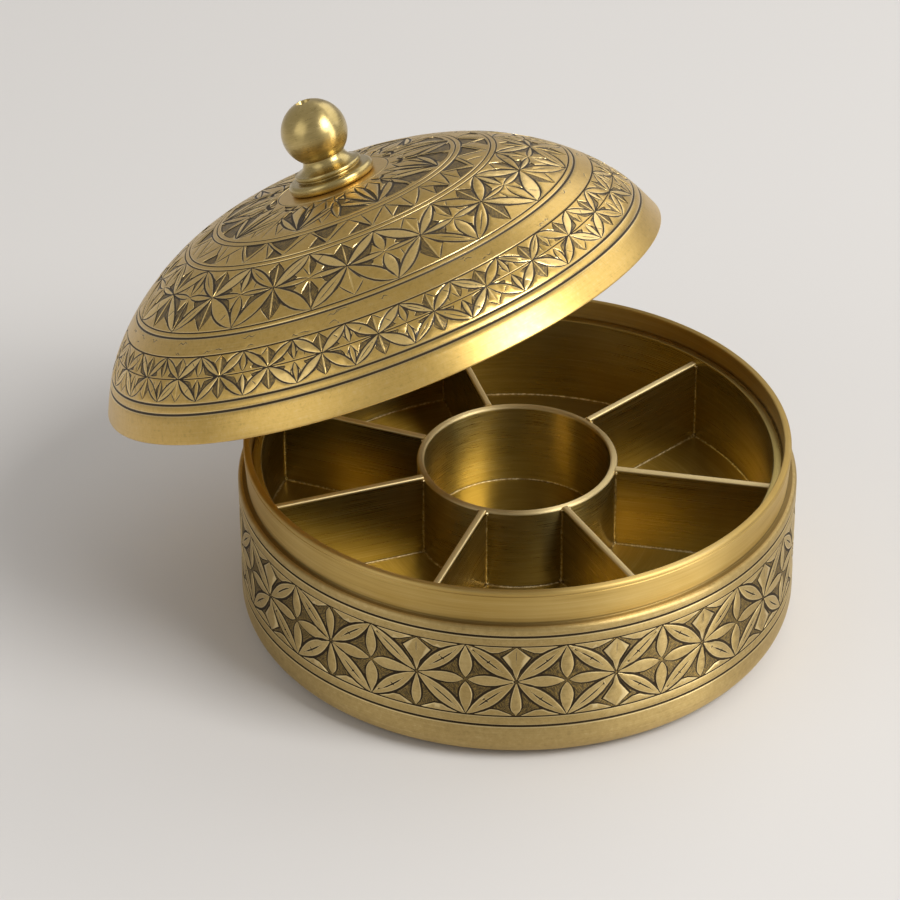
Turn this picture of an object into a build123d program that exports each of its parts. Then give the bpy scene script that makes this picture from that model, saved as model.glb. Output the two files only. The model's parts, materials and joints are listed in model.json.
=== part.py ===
from build123d import *
import os

# Paan box: a brass drum with a lift-out tray of partitions round a central cup, and a
# domed lid with a turned knob. Millimetres, +Z up, origin at the centre of the base.

# Drum
DRUM_RADIUS = 101.2
DRUM_HEIGHT = 57.6
DRUM_WALL = 1.6
DRUM_CORNER_RADIUS = 11.0
SHOULDER_ROUND = 1.3
SCRIBED_LINE_HEIGHTS = (16.0, 20.2, 50.0, 54.0)
SCRIBED_LINE_WIDTH = 0.8
SCRIBED_LINE_DEPTH = 0.4

# Collar, soldered into the mouth of the drum
COLLAR_RISE = 13.4
COLLAR_SETBACK = 2.3
COLLAR_TAPER = 0.9
COLLAR_THICKNESS = 2.7
COLLAR_SPIGOT = 7.0
COLLAR_NECK_ROUND = 1.1
COLLAR_OUTER_ROUND = 0.9
COLLAR_INNER_ROUND = 0.6
COLLAR_LINE_DROP = 1.7
COLLAR_LINE_WIDTH = 0.5
COLLAR_LINE_DEPTH = 0.25

# Tray, its rim lying on a ledge inside the collar
TRAY_RECESS = 7.2
TRAY_DEPTH = 34.6
TRAY_SHEET = 1.8
TRAY_RIM_WIDTH = 1.3
TRAY_RIM_GAP = 0.6
TRAY_LEDGE_GAP = 0.3
TRAY_RIM_ROUND = 0.4
LEDGE_HEIGHT = 1.6

# Cup and partitions
CUP_RADIUS = 36.3
CUP_SHEET = 2.6
CUP_RIM_ROUND = 0.8
CUP_BELOW_RIM = 2.6
DIVIDER_SHEET = 2.4
DIVIDER_ABOVE_CUP = 0.4
DIVIDER_EDGE_ROUND = 0.5
DIVIDER_ANGLES = (44.3, 107.0, 158.4, -159.4, -109.4, -61.8, -11.2)

# Lid, a spun dome whose inside comes down on the collar's outer edge
LID_SHEET = 1.5
LID_SEAT_GAP = 0.4
LID_LIP_OVERHANG = 7.1
LID_LIP_HEIGHT = 12.2
LID_LIP_FLARE = 6.2
LID_LIP_ANGLE = 65.0
LID_HEIGHT = 51.6
LID_FLAT_RADIUS = 21.5
LID_CROWN_SPREAD = 25.7
LID_CROWN_DROP = 3.2
LID_HAUNCH_INSET = 23.4
LID_HAUNCH_DROP = 21.0
LID_EDGE_ROUND = 0.5
LID_LINE_INSETS = (4.5, 6.2, 17.3, 22.6, 24.2, 46.8, 48.7, 58.7, 60.7)
LID_LINE_WIDTH = 0.8
LID_LINE_DEPTH = 0.35

# Knob, clamped to the lid by a stud, a washer and a nut
STUD_RADIUS = 2.5
STUD_CLEARANCE = 0.1
STUD_END = 1.5
FLANGE_RADIUS = 15.7
FLANGE_HEIGHT = 3.8
FLANGE_ROUND = 1.6
STEP_RADIUS = 12.3
STEP_HEIGHT = 1.9
STEP_ROUND = 0.75
GROOVE_RADIUS = 11.2
GROOVE_HEIGHT = 0.6
BALL_RADIUS = 11.9
NECK_RADIUS = 7.8
NECK_FOOT_RADIUS = 11.2
NECK_HEIGHT = 3.9
EYE_RADIUS = 2.9
EYE_DEPTH = 1.4
WASHER_RADIUS = 8.0
WASHER_THICKNESS = 1.2
NUT_ACROSS_FLATS = 8.0
NUT_HEIGHT = 4.0

# The lid stands open: lifted, moved back and tilted about this line from its seat
LID_SWING_POINT = (-112.5, 88.4, -35.6)
LID_SWING_DIRECTION = (0.529, 0.835, 0.150)
LID_SWING_ANGLE = 24.4

drum_bore = DRUM_RADIUS - DRUM_WALL
collar_top = DRUM_HEIGHT + COLLAR_RISE
collar_mouth = DRUM_RADIUS - COLLAR_SETBACK
collar_neck = collar_mouth - COLLAR_TAPER
collar_bore = collar_mouth - COLLAR_THICKNESS
tray_top = collar_top - TRAY_RECESS
tray_floor_top = tray_top - TRAY_DEPTH
tray_rim = collar_bore - TRAY_RIM_GAP
tray_outside = tray_rim - TRAY_RIM_WIDTH
tray_bore = tray_outside - TRAY_SHEET
rim_underside = tray_top - TRAY_SHEET
cup_top = tray_top - CUP_BELOW_RIM
stud_hole = STUD_RADIUS + STUD_CLEARANCE
lid_ceiling = LID_HEIGHT - LID_SHEET


def section(*points):
    """A closed outline in the plane of the radius and the height."""
    return make_face(Plane.XZ * Polyline(*points, close=True))


def rounded(face, corners):
    """Rounds the outline's corner at each (radius, height) by the given size."""
    for corner, size in corners:
        place = Vector(corner[0], 0, corner[1])
        vertex = min(face.vertices(), key=lambda v: (v.center() - place).length)
        face = fillet(vertex, size)
    return face


def turned(face):
    return revolve(face, Axis.Z)


def scribed(height):
    """The three corners of a scribed line in the drum's wall, from below upwards."""
    half = SCRIBED_LINE_WIDTH / 2
    return [
        (DRUM_RADIUS, height - half),
        (DRUM_RADIUS - SCRIBED_LINE_DEPTH, height),
        (DRUM_RADIUS, height + half),
    ]


def groove(place, along, width, depth):
    """The outline of a V-shaped line cut at a place on a curve that runs along."""
    out = along.rotate(Axis.Z, 90)
    half = along * (width / 2)
    mouth = out * depth
    corners = (place - out * depth, place + half + mouth, place - half + mouth)
    return section(*[(corner.X, corner.Y) for corner in corners])


def body_shell():
    lines = [corner for height in SCRIBED_LINE_HEIGHTS for corner in scribed(height)]
    outline = section(
        (0, 0),
        (DRUM_RADIUS, 0),
        *lines,
        (DRUM_RADIUS, DRUM_HEIGHT),
        (drum_bore, DRUM_HEIGHT),
        (drum_bore, DRUM_WALL),
        (0, DRUM_WALL),
    )
    outline = rounded(outline, [
        ((DRUM_RADIUS, 0), DRUM_CORNER_RADIUS),
        ((drum_bore, DRUM_WALL), DRUM_CORNER_RADIUS - DRUM_WALL),
        ((DRUM_RADIUS, DRUM_HEIGHT), SHOULDER_ROUND),
    ])
    return turned(outline)


def body_collar():
    foot = DRUM_HEIGHT - COLLAR_SPIGOT
    outline = section(
        (collar_bore, foot),
        (drum_bore, foot),
        (drum_bore, DRUM_HEIGHT),
        (collar_neck, DRUM_HEIGHT),
        (collar_mouth, collar_top),
        (collar_bore, collar_top),
    )
    outline = rounded(outline, [
        ((collar_neck, DRUM_HEIGHT), COLLAR_NECK_ROUND),
        ((collar_mouth, collar_top), COLLAR_OUTER_ROUND),
        ((collar_bore, collar_top), COLLAR_INNER_ROUND),
    ])
    side = Line((collar_mouth, collar_top), (collar_neck, DRUM_HEIGHT))
    outline -= groove(
        side @ (COLLAR_LINE_DROP / side.length), side % 0, COLLAR_LINE_WIDTH, COLLAR_LINE_DEPTH
    )
    return turned(outline)


def tray_ledge():
    bore = tray_outside + TRAY_LEDGE_GAP
    return turned(section(
        (bore, rim_underside - LEDGE_HEIGHT),
        (collar_bore, rim_underside - LEDGE_HEIGHT),
        (collar_bore, rim_underside),
        (bore, rim_underside),
    ))


def tray_wall():
    foot = tray_floor_top - TRAY_SHEET
    outline = section(
        (tray_bore, foot),
        (tray_outside, foot),
        (tray_outside, rim_underside),
        (tray_rim, rim_underside),
        (tray_rim, tray_top),
        (tray_bore, tray_top),
    )
    outline = rounded(outline, [
        ((tray_rim, tray_top), TRAY_RIM_ROUND),
        ((tray_bore, tray_top), TRAY_RIM_ROUND),
    ])
    return turned(outline)


def tray_floor():
    foot = tray_floor_top - TRAY_SHEET
    return turned(section(
        (0, foot),
        (tray_bore, foot),
        (tray_bore, tray_floor_top),
        (0, tray_floor_top),
    ))


def tray_cup():
    bore = CUP_RADIUS - CUP_SHEET
    outline = section(
        (bore, tray_floor_top),
        (CUP_RADIUS, tray_floor_top),
        (CUP_RADIUS, cup_top),
        (bore, cup_top),
    )
    outline = rounded(outline, [
        ((CUP_RADIUS, cup_top), CUP_RIM_ROUND),
        ((bore, cup_top), CUP_RIM_ROUND),
    ])
    return turned(outline)


def divider(angle):
    """A plate on the tray's floor, its ends cut to the round of the cup and the wall."""
    height = cup_top + DIVIDER_ABOVE_CUP - tray_floor_top
    on_floor = (Align.MIN, Align.CENTER, Align.MIN)
    plate = Box(tray_bore + DIVIDER_SHEET, DIVIDER_SHEET, height, align=on_floor)
    top_edges = plate.faces().sort_by(Axis.Z)[-1].edges().filter_by(Axis.X)
    plate = fillet(top_edges, DIVIDER_EDGE_ROUND)
    ring_align = (Align.CENTER, Align.CENTER, Align.MIN)
    ring = Cylinder(tray_bore, height, align=ring_align)
    ring -= Cylinder(CUP_RADIUS, height, align=ring_align)
    return Pos(0, 0, tray_floor_top) * Rot(0, 0, angle) * (plate & ring)


def lid_outer_curve():
    """The dome from the flat under the knob down to the lip's edge."""
    lip_edge = collar_mouth + LID_LIP_OVERHANG
    return Spline(
        (LID_FLAT_RADIUS, LID_HEIGHT),
        (LID_FLAT_RADIUS + LID_CROWN_SPREAD, LID_HEIGHT - LID_CROWN_DROP),
        (lip_edge - LID_HAUNCH_INSET, LID_HEIGHT - LID_HAUNCH_DROP),
        (lip_edge - LID_LIP_FLARE, LID_LIP_HEIGHT),
        (lip_edge, 0),
        tangents=((1, 0), Vector(1, 0).rotate(Axis.Z, -LID_LIP_ANGLE)),
    )


def lid_inner_curve(outer):
    """The outer curve moved in by the sheet, square to itself."""
    stations = [step / 10 for step in range(11)]
    inward = [(outer % t).rotate(Axis.Z, -90) * LID_SHEET for t in stations]
    points = [outer @ t + shift for t, shift in zip(stations, inward)]
    return Spline(*points, tangents=(outer % 0, outer % 1))


def share_at(curve, radius):
    """How far along a falling curve it reaches a radius, from 0 to 1."""
    low, high = 0.0, 1.0
    while high - low > 1e-7:
        middle = (low + high) / 2
        if (curve @ middle).X < radius:
            low = middle
        else:
            high = middle
    return low


lid_outside = lid_outer_curve()
lid_inside = lid_inner_curve(lid_outside)

# The dome comes down on the middle of the round along the collar's outer edge
seat_inset = COLLAR_OUTER_ROUND * (1 - 0.5**0.5)
seat_radius = collar_mouth - seat_inset
seat_height = collar_top - seat_inset
seat_on_lid = lid_inside @ share_at(lid_inside, seat_radius)
lid_seat = seat_height + LID_SEAT_GAP - seat_on_lid.Y


def lid_dome():
    top = Line((stud_hole, LID_HEIGHT), lid_outside @ 0)
    ceiling = Line(lid_inside @ 0, (stud_hole, lid_ceiling))
    hole = Line((stud_hole, lid_ceiling), (stud_hole, LID_HEIGHT))
    edge = Line(lid_outside @ 1, lid_inside @ 1)
    outline = make_face(Plane.XZ * (top + lid_outside + edge + lid_inside + ceiling + hole))
    edge_round = [
        (tuple(lid_outside @ 1)[:2], LID_EDGE_ROUND),
        (tuple(lid_inside @ 1)[:2], LID_EDGE_ROUND),
    ]
    outline = rounded(outline, edge_round)
    for inset in LID_LINE_INSETS:
        share = share_at(lid_outside, (lid_outside @ 1).X - inset)
        outline -= groove(
            lid_outside @ share, lid_outside % share, LID_LINE_WIDTH, LID_LINE_DEPTH
        )
    return turned(outline)


def knob_base():
    """Flange and step, turned as one, with a groove between them and the neck."""
    step_foot = LID_HEIGHT + FLANGE_HEIGHT
    step_top = step_foot + STEP_HEIGHT
    outline = section(
        (stud_hole, LID_HEIGHT),
        (FLANGE_RADIUS, LID_HEIGHT),
        (FLANGE_RADIUS, step_foot),
        (GROOVE_RADIUS, step_foot),
        (GROOVE_RADIUS, step_foot + GROOVE_HEIGHT),
        (STEP_RADIUS, step_foot + GROOVE_HEIGHT),
        (STEP_RADIUS, step_top + GROOVE_HEIGHT),
        (stud_hole, step_top + GROOVE_HEIGHT),
    )
    outline = rounded(outline, [
        ((FLANGE_RADIUS, LID_HEIGHT), FLANGE_ROUND),
        ((FLANGE_RADIUS, step_foot), FLANGE_ROUND),
        ((STEP_RADIUS, step_foot + GROOVE_HEIGHT), STEP_ROUND),
        ((STEP_RADIUS, step_top + GROOVE_HEIGHT), STEP_ROUND),
    ])
    return turned(outline)


knob_foot = LID_HEIGHT + FLANGE_HEIGHT + GROOVE_HEIGHT + STEP_HEIGHT
ball_sink = (BALL_RADIUS**2 - NECK_RADIUS**2) ** 0.5
ball_centre = knob_foot + NECK_HEIGHT + ball_sink
ball_top = ball_centre + BALL_RADIUS


def knob_ball():
    """Ball on a waisted neck, bored through, with a shallow eye in its crown."""
    eye_height = ball_centre + (BALL_RADIUS**2 - EYE_RADIUS**2) ** 0.5
    eye_floor = eye_height - EYE_DEPTH
    waist = (NECK_RADIUS, knob_foot + NECK_HEIGHT)
    profile = Line((stud_hole, knob_foot), (NECK_FOOT_RADIUS, knob_foot))
    profile += Spline(
        (NECK_FOOT_RADIUS, knob_foot),
        waist,
        tangents=((-0.6, 0.4), (0, 1)),
    )
    profile += ThreePointArc(waist, (BALL_RADIUS, ball_centre), (EYE_RADIUS, eye_height))
    profile += Polyline(
        (EYE_RADIUS, eye_height),
        (EYE_RADIUS, eye_floor),
        (stud_hole, eye_floor),
        (stud_hole, knob_foot),
    )
    return turned(make_face(Plane.XZ * profile))


def knob_washer():
    return turned(section(
        (stud_hole, lid_ceiling - WASHER_THICKNESS),
        (WASHER_RADIUS, lid_ceiling - WASHER_THICKNESS),
        (WASHER_RADIUS, lid_ceiling),
        (stud_hole, lid_ceiling),
    ))


nut_top = lid_ceiling - WASHER_THICKNESS


def knob_nut():
    hexagon = RegularPolygon(NUT_ACROSS_FLATS / 2, 6, major_radius=False)
    return Pos(0, 0, nut_top - NUT_HEIGHT) * extrude(hexagon - Circle(stud_hole), NUT_HEIGHT)


def knob_stud():
    """From just under the nut to just below the eye's floor."""
    low = nut_top - NUT_HEIGHT - STUD_END
    high = ball_centre + (BALL_RADIUS**2 - EYE_RADIUS**2) ** 0.5 - EYE_DEPTH
    stud = Cylinder(STUD_RADIUS, high - low, align=(Align.CENTER, Align.CENTER, Align.MIN))
    return Pos(0, 0, low) * stud


def opened(piece):
    """Moves a piece of the lid from its own frame to the seat, then swings it open."""
    line = Axis(LID_SWING_POINT, LID_SWING_DIRECTION)
    return (Pos(0, 0, lid_seat) * piece).rotate(line, -LID_SWING_ANGLE)


nodes = {
    "body_shell": body_shell(),
    "body_collar": body_collar(),
    "tray_ledge": tray_ledge(),
    "tray_wall": tray_wall(),
    "tray_floor": tray_floor(),
    "tray_cup": tray_cup(),
    "lid_dome": opened(lid_dome()),
    "knob_base": opened(knob_base()),
    "knob_ball": opened(knob_ball()),
    "knob_washer": opened(knob_washer()),
    "knob_nut": opened(knob_nut()),
    "knob_stud": opened(knob_stud()),
}
for number, angle in enumerate(DIVIDER_ANGLES, start=1):
    nodes[f"divider_{number}"] = divider(angle)

os.makedirs("parts", exist_ok=True)
for name, shape in nodes.items():
    export_step(shape, f"parts/{name}.step")
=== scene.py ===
import json
import math

import bmesh
import bpy
import numpy as np
from mathutils import Matrix, Vector
from mathutils.geometry import delaunay_2d_cdt


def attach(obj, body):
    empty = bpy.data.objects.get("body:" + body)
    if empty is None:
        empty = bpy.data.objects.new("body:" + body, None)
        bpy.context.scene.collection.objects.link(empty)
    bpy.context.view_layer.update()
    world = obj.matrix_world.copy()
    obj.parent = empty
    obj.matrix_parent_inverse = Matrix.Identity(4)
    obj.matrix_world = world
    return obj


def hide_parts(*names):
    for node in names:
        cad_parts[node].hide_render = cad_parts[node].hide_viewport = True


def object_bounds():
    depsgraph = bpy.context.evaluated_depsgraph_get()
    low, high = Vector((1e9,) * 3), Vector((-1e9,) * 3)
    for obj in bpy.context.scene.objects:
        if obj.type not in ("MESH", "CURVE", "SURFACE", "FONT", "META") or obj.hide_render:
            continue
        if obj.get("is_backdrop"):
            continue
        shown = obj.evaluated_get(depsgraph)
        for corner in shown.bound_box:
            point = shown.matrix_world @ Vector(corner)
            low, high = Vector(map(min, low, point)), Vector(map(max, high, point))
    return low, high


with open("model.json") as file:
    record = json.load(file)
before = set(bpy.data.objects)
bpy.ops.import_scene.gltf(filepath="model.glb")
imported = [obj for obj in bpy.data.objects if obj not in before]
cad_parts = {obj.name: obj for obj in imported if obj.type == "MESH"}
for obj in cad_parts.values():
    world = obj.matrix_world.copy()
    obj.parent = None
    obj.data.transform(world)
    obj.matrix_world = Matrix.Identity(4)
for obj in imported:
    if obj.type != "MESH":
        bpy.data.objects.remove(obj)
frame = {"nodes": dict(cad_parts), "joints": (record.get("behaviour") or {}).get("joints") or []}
cad_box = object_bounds()

# A brass paan box: an engraved drum with a soldered collar, a lift-out tray of
# partitions round a cup, and an engraved domed lid with a turned knob.
# Sizes are in millimetres until a piece is made, and in metres from there on.

MM = 0.001
TURN = 2 * math.pi
AROUND = 240

# Points closer than this are one point, and edges shorter than this go, in metres
WELD, SLIVER = 0.000002, 0.000001

# What the engraving leaves at each point of a mesh, and its value on plain brass: how deep
# in a cut the point is, whether it is on sunk ground, and the tone of its facet, painted as light
# and shade
LAYERS = {"cut": 0.0, "sunk": 0.0, "facet": 0.5}

rng = np.random.default_rng(17)


# ---------------------------------------------------------------- the finishes


class Value:
    """A socket of a finish, so that shader maths reads as plain expressions."""

    def __init__(self, finish, socket):
        self.finish = finish
        self.socket = socket

    def maths(self, operation, *values, clamp=False):
        settings = {"operation": operation, "use_clamp": clamp}
        return self.finish.node("ShaderNodeMath", settings, *values)

    def __add__(self, other):
        return self.maths("ADD", self, other)

    def __sub__(self, other):
        return self.maths("SUBTRACT", self, other)

    def __rsub__(self, other):
        return self.maths("SUBTRACT", other, self)

    def __mul__(self, other):
        return self.maths("MULTIPLY", self, other)

    def __truediv__(self, other):
        return self.maths("DIVIDE", self, other)

    def __rtruediv__(self, other):
        return self.maths("DIVIDE", other, self)

    __radd__ = __add__
    __rmul__ = __mul__

    def root(self):
        return self.maths("SQRT", self)

    def size(self):
        return self.maths("ABSOLUTE", self)

    def above(self, start, end):
        """0 below start, 1 above end, and smooth between them."""
        settings = {"interpolation_type": "SMOOTHSTEP", "clamp": True}
        inputs = {"Value": self, "From Min": start, "From Max": end}
        return self.finish.node("ShaderNodeMapRange", settings, inputs, out="Result")

    def larger(self, other):
        return self.maths("MAXIMUM", self, other)

    def parts(self):
        """The X, Y and Z of a vector."""
        node = self.finish.node("ShaderNodeSeparateXYZ", {}, self, out=None)
        return [Value(self.finish, socket) for socket in node.outputs]


class Finish:
    """A procedural material, built round one Principled shader."""

    def __init__(self, name, made=True, **sockets):
        self.made = made
        self.material = bpy.data.materials.new(name)
        self.material.use_nodes = True
        self.tree = self.material.node_tree
        self.shader = self.tree.nodes["Principled BSDF"]
        self.set(**sockets)

    def set(self, **sockets):
        """Sets the shader's sockets, whose names have _ where the shader has a space."""
        for name, value in sockets.items():
            self.plug(self.shader.inputs[name.replace("_", " ")], value)

    def plug(self, socket, value):
        """Gives a socket a link, a colour, or a plain value."""
        if isinstance(value, Value):
            self.tree.links.new(value.socket, socket)
        elif isinstance(value, tuple) and len(value) < len(socket.default_value):
            socket.default_value = (*value, 1)
        else:
            socket.default_value = value

    def node(self, kind, settings, *values, out=0):
        """One node: its settings first, then its sockets, in order or by name."""
        node = self.tree.nodes.new(kind)
        for name, value in settings.items():
            setattr(node, name, value)
        for index, value in enumerate(values):
            named = value if isinstance(value, dict) else {index: value}
            for name, entry in named.items():
                self.plug(node.inputs[name], entry)
        return node if out is None else Value(self, node.outputs[out])

    def place(self):
        """The point on the surface, in the piece's own frame."""
        if self.made:
            return self.node("ShaderNodeAttribute", {"attribute_name": "own"}, out="Vector")
        return self.node("ShaderNodeTexCoord", {}, out="Object")

    def height(self):
        """How high the point lies in the piece's own frame."""
        return self.place().parts()[2]

    def vector(self, x, y, z):
        return self.node("ShaderNodeCombineXYZ", {}, x, y, z)

    def noise(self, vector, scale, detail=2.0, roughness=0.5):
        inputs = {"Vector": vector, "Scale": scale, "Detail": detail, "Roughness": roughness}
        return self.node("ShaderNodeTexNoise", {}, inputs)

    def attribute(self, name):
        return self.node("ShaderNodeAttribute", {"attribute_name": name}, out="Fac")

    def blend(self, factor, first, second):
        """A colour between two colours."""
        settings = {"data_type": "RGBA"}
        inputs = {0: factor, 6: first, 7: second}
        return self.node("ShaderNodeMix", settings, inputs, out=2)

    def bump(self, height, strength, distance):
        inputs = {"Height": height, "Strength": strength, "Distance": distance}
        return self.node("ShaderNodeBump", {}, inputs, out="Normal")

    def lathe_grain(self, lean):
        """Fine and broad rings left by brushing on a lathe, round the piece's own Z.

        lean is how far the rings climb as the radius grows."""
        x, y, z = self.place().parts()
        radius = (x * x + y * y).root() + 1e-5
        along = z + radius * lean
        grains = []
        for turns, rings, roughness in ((3, 3400, 0.65), (1.3, 700, 0.6)):
            lay = self.vector(x / radius * turns, y / radius * turns, along * rings)
            grains.append(self.noise(lay, 1, 3, roughness))
        return grains

    def plate_grain(self):
        """Fine and broad straight brush marks along the piece's own X."""
        x, y, z = self.place().parts()
        grains = []
        for along, across, up, roughness in ((26, 1500, 3000, 0.65), (9, 400, 620, 0.6)):
            lay = self.vector(x * along, y * across, z * up)
            grains.append(self.noise(lay, 1, 3, roughness))
        return grains

    def hatching(self):
        """Fine strokes over a strip, which lie one way in some places and another in others."""
        u, v, _ = self.node("ShaderNodeUVMap", {"uv_map": "strip"}).parts()
        lay = self.noise(self.place(), 130, 1, 0.5).above(0.46, 0.54)
        long, wide = 420, 2600
        one = self.vector((u + v) * long, (u - v) * wide, 0)
        other = self.vector((u * 0.5 - v) * long, (u + v * 0.5) * wide, 7)
        return self.noise(one, 1, 2, 0.6) * lay + self.noise(other, 1, 2, 0.6) * (1 - lay)


BRASS = (0.62, 0.44, 0.155)
BRASS_WARM = (0.50, 0.330, 0.088)
BRASS_PALE = (0.76, 0.61, 0.32)
BRASS_DEEP = (0.40, 0.295, 0.085)
TARNISH = (0.16, 0.110, 0.040)
GROUND = (0.085, 0.064, 0.036)
GROOVE = (0.045, 0.030, 0.014)

# The two colours that each finish clouds between
PLAIN_TONES = BRASS_WARM, BRASS
DEEP_TONES = BRASS_DEEP, (0.47, 0.36, 0.135)
DRUM_TONES = (0.44, 0.31, 0.115), (0.52, 0.38, 0.155)
LID_TONES = (0.575, 0.37, 0.085), (0.73, 0.49, 0.14)
KNOB_TONES = (0.44, 0.335, 0.12), (0.60, 0.455, 0.18)
SOLDER_TONES = (0.30, 0.21, 0.08), (0.66, 0.55, 0.32)

# The pale colours of the brightest facets of the drum and of the lid: painted light, standing in
# for facets that catch the lamps
DRUM_LIT_FACET = (0.60, 0.45, 0.20)
LID_LIT_FACET = (0.93, 0.68, 0.27)

# Brushing round a piece draws the shine out across the marks
ACROSS_THE_GRAIN = {"Anisotropic": 0.85, "Anisotropic_Rotation": 0.25}
KNOB_GRAIN = {"Anisotropic": 0.6, "Anisotropic_Rotation": 0.25}
LACQUER = {"Coat_Weight": 0.25, "Coat_Roughness": 0.35, "Coat_IOR": 1.7}

# Depths of the brush marks, of the engraved brass's grain and of the solder's skin
MARK_DEPTH, GRAIN_DEPTH, SKIN_DEPTH = 0.00005, 0.00006, 0.0001

# How far down a top edge is painted pale, as wear and as a painted highlight, and how far round a
# corner it is painted dark, as tarnish and as painted shade
WORN_AND_LIT_BAND = 0.0008
TARNISH_AND_SHADE_BAND = 0.0002, 0.0012


def brushed(name, lean=0.0, straight=False, tones=PLAIN_TONES, stain=0.3, rough=0.3,
            depth=0.2, made=True, worn_and_lit_top=None, corner=None, **sockets):
    """Brushed brass: grain rings or straight marks, cloudy colour, uneven gloss.

    stain is how dark the marks are, and depth how deep. The piece is painted pale up at the top
    height given, as wear and as a painted highlight on its lit top edge, and painted dark round the
    height corner, as tarnish in the joint and as painted shade in the crease there."""
    finish = Finish(name, made, Metallic=1.0, **sockets)
    fine, broad = finish.plate_grain() if straight else finish.lathe_grain(lean)
    cloud = finish.noise(finish.place(), 26, 3, 0.55)
    clouded = (cloud * 0.8 + broad * 0.4 - 0.1).above(0.25, 0.85)
    bright_marks = (fine * 0.7 + broad * 0.3).above(0.5, 0.8)
    dark_marks = (1 - fine * 0.6 - broad * 0.4).above(0.5, 0.8)
    tone = finish.blend(clouded, *tones)
    tone = finish.blend(bright_marks * 0.5, tone, BRASS_PALE)
    tone = finish.blend(dark_marks * stain, tone, TARNISH)
    # Painted pale at the top edge: partly wear, partly a painted highlight where the rounded edge
    # catches the light
    if worn_and_lit_top:
        top = finish.height().above(worn_and_lit_top - WORN_AND_LIT_BAND, worn_and_lit_top)
        tone = finish.blend(top * 0.9, tone, BRASS_PALE)
        rough = rough + top * 0.25
    # Painted dark round the corner: tarnish in the joint, and painted shade in the crease where the
    # parts meet
    if corner:
        near = 1 - (finish.height() - corner).size().above(*TARNISH_AND_SHADE_BAND)
        tone = finish.blend(near * 0.75, tone, TARNISH)
    finish.set(Base_Color=tone)
    finish.set(Roughness=rough + (cloud - 0.5) * 0.1 + (fine - 0.5) * 0.2)
    finish.set(Normal=finish.bump(fine + broad * 0.5, depth, MARK_DEPTH))
    return finish


def engraved(name, lean, tones, bright, uneven, rough, **sockets):
    """Brushed brass with dark patina in the cuts, a painted highlight of pale brass on the bevels
    beside them, and hatched ground.

    uneven is how far the facets differ, between the bright tone and deep brass: painted light and
    shade, given to the facets at random."""
    finish = Finish(name, Metallic=1.0, **sockets)
    fine, broad = finish.lathe_grain(lean)
    cloud = finish.noise(finish.place(), 40, 4, 0.6)
    speck = finish.noise(finish.place(), 520, 3, 0.7)
    hatch = finish.hatching()
    facet, sunk, cut = [finish.attribute(layer) for layer in ("facet", "sunk", "cut")]
    sunken = sunk.above(0.3, 0.8)
    groove = cut.above(0.34, 0.56)
    # The bevels beside the cuts are painted pale as a highlight, and made a little glossier
    bevel_highlight = (cut.above(0.01, 0.12) - cut.above(0.3, 0.46)) * (1 - sunken)
    bright_marks = (speck * 0.5 + fine * 0.5).above(0.48, 0.8)
    dark_marks = (1 - speck * 0.55 - fine * 0.45).above(0.5, 0.78)
    ground = finish.blend(hatch.above(0.42, 0.64) * 0.6, GROUND, BRASS_WARM)
    # Each facet's tone is painted light and shade, given at random, and pulls the brass towards the
    # bright tone or deep brass
    tone = finish.blend((cloud * 0.5 + facet * 0.6 - 0.05).above(0.1, 0.9), *tones)
    for share, colour in (
        (facet.above(0.5, 0.95) * uneven, bright),
        ((1 - facet).above(0.65, 0.95) * uneven, BRASS_DEEP),
        (bright_marks * 0.6, BRASS_PALE),
        (dark_marks * 0.5, TARNISH),
        (hatch.above(0.52, 0.72) * 0.25, TARNISH),
        (sunken * 0.92, ground),
        (bevel_highlight * 0.7, BRASS_PALE),
        (groove, GROOVE),
    ):
        tone = finish.blend(share, tone, colour)
    shade = groove.larger(sunken * 0.5)
    roughness = rough + shade * 0.3 - bevel_highlight * 0.1
    relief = fine * 0.7 + broad * 0.4 + speck * 0.5 + hatch * sunk * 2.4
    finish.set(Base_Color=tone)
    finish.set(Metallic=1 - groove * 0.25)
    finish.set(Roughness=roughness + (cloud - 0.5) * 0.12 + (fine - 0.5) * 0.14)
    finish.set(Normal=finish.bump(relief, 0.32, GRAIN_DEPTH))
    return finish


def solder():
    """Pale soft solder, with a cast skin."""
    finish = Finish("solder", Metallic=1.0)
    grit = finish.noise(finish.place(), 900, 3, 0.6)
    finish.set(Base_Color=finish.blend(grit.above(0.35, 0.75), *SOLDER_TONES))
    finish.set(Roughness=0.28 + grit * 0.2)
    finish.set(Normal=finish.bump(grit, 0.3, SKIN_DEPTH))
    return finish


drum_finish = engraved(
    "engraved_drum_brass", 0.15, DRUM_TONES, DRUM_LIT_FACET, 0.3, 0.46, **ACROSS_THE_GRAIN
)
lid_finish = engraved("engraved_lid_brass", -1.0, LID_TONES, LID_LIT_FACET, 0.7, 0.37, **LACQUER)
# The collar's foot is painted dark: tarnish in the joint, and painted shade where it meets the drum
collar_finish = brushed(
    "collar_brass", lean=0.3, stain=0.4, rough=0.48, depth=0.3, corner=0.0576, **ACROSS_THE_GRAIN
)
wall_finish = brushed(
    "tray_wall_brass", lean=0.3, tones=DEEP_TONES, stain=0.5, depth=0.3, **ACROSS_THE_GRAIN
)
# The cup's rim is painted pale: wear, and a painted highlight of its lit edge
cup_finish = brushed(
    "cup_brass", lean=0.3, tones=DEEP_TONES, stain=0.8, depth=0.4, worn_and_lit_top=0.0608, **ACROSS_THE_GRAIN
)
floor_finish = brushed("tray_floor_brass", lean=1.0, tones=DEEP_TONES, rough=0.34, made=False)
ledge_finish = brushed("tray_ledge_brass", lean=0.3, tones=DEEP_TONES, rough=0.34, made=False)
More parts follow.
